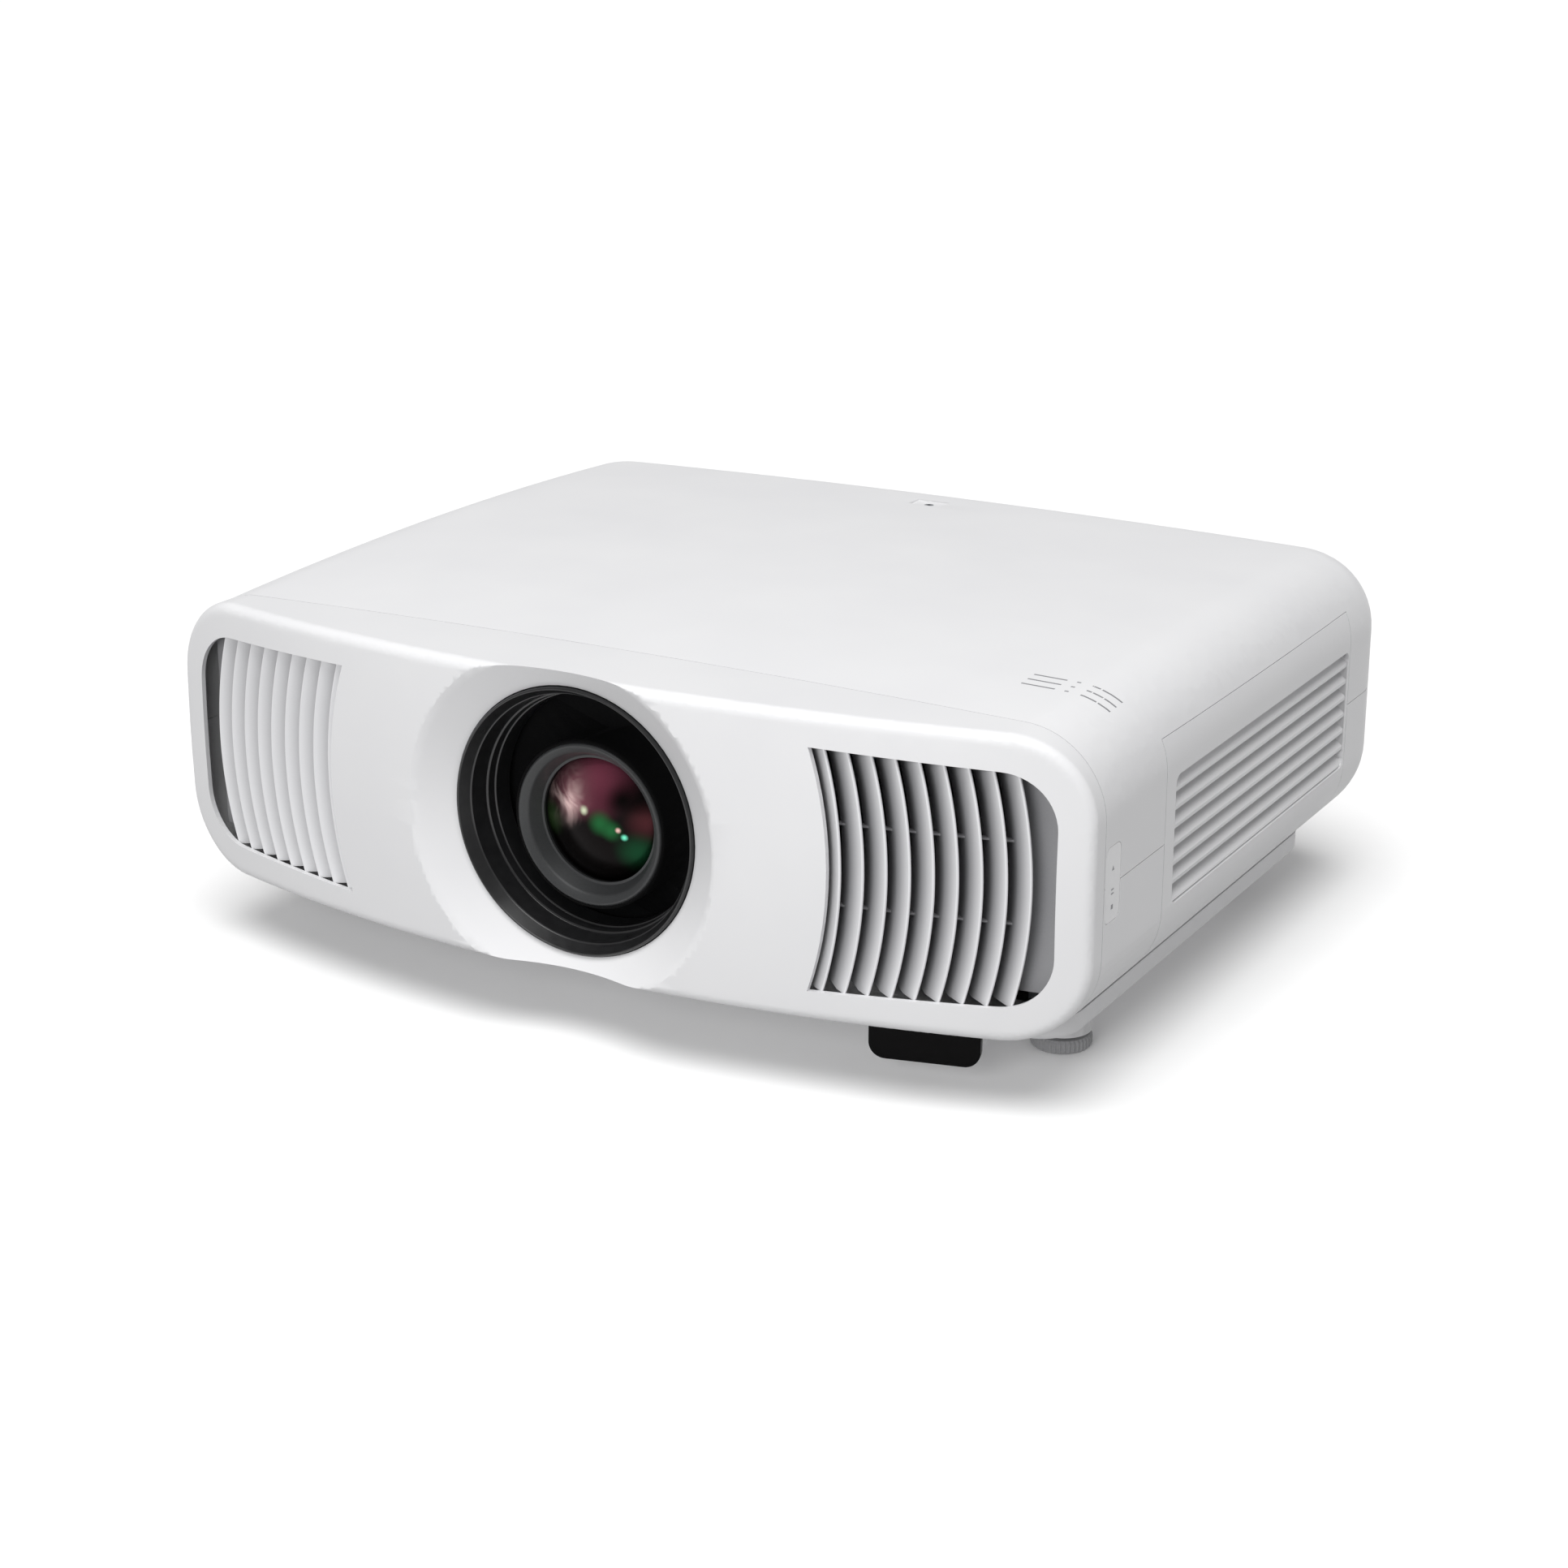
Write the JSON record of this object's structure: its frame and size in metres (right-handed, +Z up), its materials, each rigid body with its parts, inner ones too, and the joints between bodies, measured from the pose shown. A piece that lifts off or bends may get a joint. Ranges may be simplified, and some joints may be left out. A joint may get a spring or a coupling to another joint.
{
  "type": "home projector",
  "caption": "Wide low projector with a bowed front, recessed round lens, curved louvred grilles, a slatted side cover and levelling feet.",
  "frame": {"origin": "centre of the bounding box in plan, on the surface that the feet stand on", "axes": "-Y is the way the lens looks, +Z is up, +X is to the right for someone facing the lens"},
  "size_m": [0.52, 0.4471, 0.193],
  "materials": {
    "white_abs": "fine spark texture",
    "white_gloss": "gloss",
    "black_abs": "satin",
    "black_gloss": "gloss",
    "grey_abs": "satin",
    "rubber": "matte",
    "glass": "coated",
    "steel": "plain",
    "zinc_sheet": "galvanised",
    "aluminium": "as cast",
    "brass": "turned",
    "circuit_board": "solder mask",
    "filter_paper": "pleated",
    "acetal": "natural"
  },
  "bodies": {
    "case": {"front_bezel": "white_abs", "left_grille": "white_abs", "right_grille": "white_abs", "lens_hood": "black_abs", "top_cover": "white_abs", "lower_case": "white_abs", "base_pan": "white_abs", "rear_panel": "white_abs", "control_plate": "white_abs", "indicator_window": "white_gloss", "receiver_window": "black_gloss", "rear_feet": "rubber", "hdmi_sockets": "steel", "usb_sockets": "steel", "lan_socket": "steel", "ac_inlet": "black_abs", "chassis_tray": "zinc_sheet", "bracket_inserts": "brass", "power_supply": "circuit_board", "main_board": "circuit_board", "laser_module": "aluminium", "heat_sink": "aluminium", "wheel_motor": "black_abs", "phosphor_housing": "black_abs", "light_path": "black_abs", "prism_block": "glass", "light_valves": "black_abs", "lens_bracket": "zinc_sheet", "vertical_motor": "black_abs", "fan_frames": "black_abs", "foot_nuts": "brass", "case_screws": "steel"},
    "vertical_slide": {"vertical_shift_plate": "zinc_sheet", "horizontal_motor": "black_abs"},
    "lens": {"horizontal_shift_plate": "zinc_sheet", "lens_barrel": "black_abs", "front_glass": "glass", "rear_glass": "glass", "drive_motors": "black_abs"},
    "zoom_ring": {"zoom_ring": "acetal"},
    "focus_ring": {"focus_ring": "acetal"},
    "zoom_pinion": {"zoom_pinion": "acetal"},
    "focus_pinion": {"focus_pinion": "acetal"},
    "vertical_pinion": {"vertical_pinion": "acetal"},
    "horizontal_pinion": {"horizontal_pinion": "acetal"},
    "phosphor_wheel": {"phosphor_wheel": "aluminium"},
    "left_front_fan": {"left_front_fan": "black_abs"},
    "right_front_fan": {"right_front_fan": "black_abs"},
    "side_fan": {"side_fan": "black_abs"},
    "filter_cover": {"filter_cover": "white_abs", "filter_element": "filter_paper"},
    "left_foot": {"left_foot": "grey_abs"},
    "right_foot": {"right_foot": "grey_abs"},
    "power_button": {"power_button": "white_gloss"},
    "menu_button": {"menu_button": "white_gloss"},
    "enter_button": {"enter_button": "white_gloss"},
    "up_button": {"up_button": "white_gloss"},
    "down_button": {"down_button": "white_gloss"},
    "left_button": {"left_button": "white_gloss"},
    "right_button": {"right_button": "white_gloss"}
  },
  "joints": [
    {"name": "vertical_lens_shift", "type": "slide", "parent": "case", "child": "vertical_slide", "axis": [0, 0, 1], "range_m": [-0.005, 0.012]},
    {"name": "horizontal_lens_shift", "type": "slide", "parent": "vertical_slide", "child": "lens", "axis": [1, 0, 0], "range_m": [-0.01, 0.01]},
    {"name": "vertical_shift_drive", "type": "hinge", "parent": "case", "child": "vertical_pinion", "pos_m": [-0.082, 0, 0.1048], "axis": [0, 1, 0], "range_deg": [-120, 60]},
    {"name": "horizontal_shift_drive", "type": "hinge", "parent": "vertical_slide", "child": "horizontal_pinion", "pos_m": [0, 0, 0.1648], "axis": [0, 1, 0], "range_deg": [-100, 100]},
    {"name": "zoom_turn", "type": "hinge", "parent": "lens", "child": "zoom_ring", "pos_m": [0, 0, 0.1048], "axis": [0, 1, 0], "range_deg": [-35, 35]},
    {"name": "focus_turn", "type": "hinge", "parent": "lens", "child": "focus_ring", "pos_m": [0, 0, 0.1048], "axis": [0, 1, 0], "range_deg": [-30, 30]},
    {"name": "zoom_drive", "type": "hinge", "parent": "lens", "child": "zoom_pinion", "pos_m": [0.0385, 0, 0.13176], "axis": [0, 1, 0], "range_deg": [-202, 202]},
    {"name": "focus_drive", "type": "hinge", "parent": "lens", "child": "focus_pinion", "pos_m": [-0.0385, 0, 0.13176], "axis": [0, 1, 0], "range_deg": [-173, 173]},
    {"name": "phosphor_spin", "type": "hinge", "parent": "case", "child": "phosphor_wheel", "pos_m": [0, 0.035, 0.112], "axis": [1, 0, 0], "continuous": true},
    {"name": "left_front_fan_spin", "type": "hinge", "parent": "case", "child": "left_front_fan", "pos_m": [-0.186, 0, 0.108], "axis": [0, 1, 0], "continuous": true},
    {"name": "right_front_fan_spin", "type": "hinge", "parent": "case", "child": "right_front_fan", "pos_m": [0.186, 0, 0.108], "axis": [0, 1, 0], "continuous": true},
    {"name": "side_fan_spin", "type": "hinge", "parent": "case", "child": "side_fan", "pos_m": [0, -0.04, 0.108], "axis": [1, 0, 0], "continuous": true},
    {"name": "filter_cover_pull", "type": "slide", "parent": "case", "child": "filter_cover", "axis": [1, 0, 0], "range_m": [0, 0.06]},
    {"name": "left_foot_height", "type": "slide", "parent": "case", "child": "left_foot", "axis": [0, 0, -1], "range_m": [0, 0.012]},
    {"name": "right_foot_height", "type": "slide", "parent": "case", "child": "right_foot", "axis": [0, 0, -1], "range_m": [0, 0.012]},
    {"name": "power_button_press", "type": "slide", "parent": "case", "child": "power_button", "axis": [1, 0, 0], "range_m": [0, 0.0008], "stiffness_N_per_m": 600},
    {"name": "menu_button_press", "type": "slide", "parent": "case", "child": "menu_button", "axis": [1, 0, 0], "range_m": [0, 0.0008], "stiffness_N_per_m": 600},
    {"name": "enter_button_press", "type": "slide", "parent": "case", "child": "enter_button", "axis": [1, 0, 0], "range_m": [0, 0.0008], "stiffness_N_per_m": 600},
    {"name": "up_button_press", "type": "slide", "parent": "case", "child": "up_button", "axis": [1, 0, 0], "range_m": [0, 0.0008], "stiffness_N_per_m": 600},
    {"name": "down_button_press", "type": "slide", "parent": "case", "child": "down_button", "axis": [1, 0, 0], "range_m": [0, 0.0008], "stiffness_N_per_m": 600},
    {"name": "left_button_press", "type": "slide", "parent": "case", "child": "left_button", "axis": [1, 0, 0], "range_m": [0, 0.0008], "stiffness_N_per_m": 600},
    {"name": "right_button_press", "type": "slide", "parent": "case", "child": "right_button", "axis": [1, 0, 0], "range_m": [0, 0.0008], "stiffness_N_per_m": 600}
  ],
  "couplings": [
    {"joint": "vertical_shift_drive", "follows": "vertical_lens_shift", "rad_per_m": -166.67},
    {"joint": "horizontal_shift_drive", "follows": "horizontal_lens_shift", "rad_per_m": -166.67},
    {"joint": "zoom_drive", "follows": "zoom_turn", "ratio": -5.7143},
    {"joint": "focus_drive", "follows": "focus_turn", "ratio": -5.7143}
  ]
}
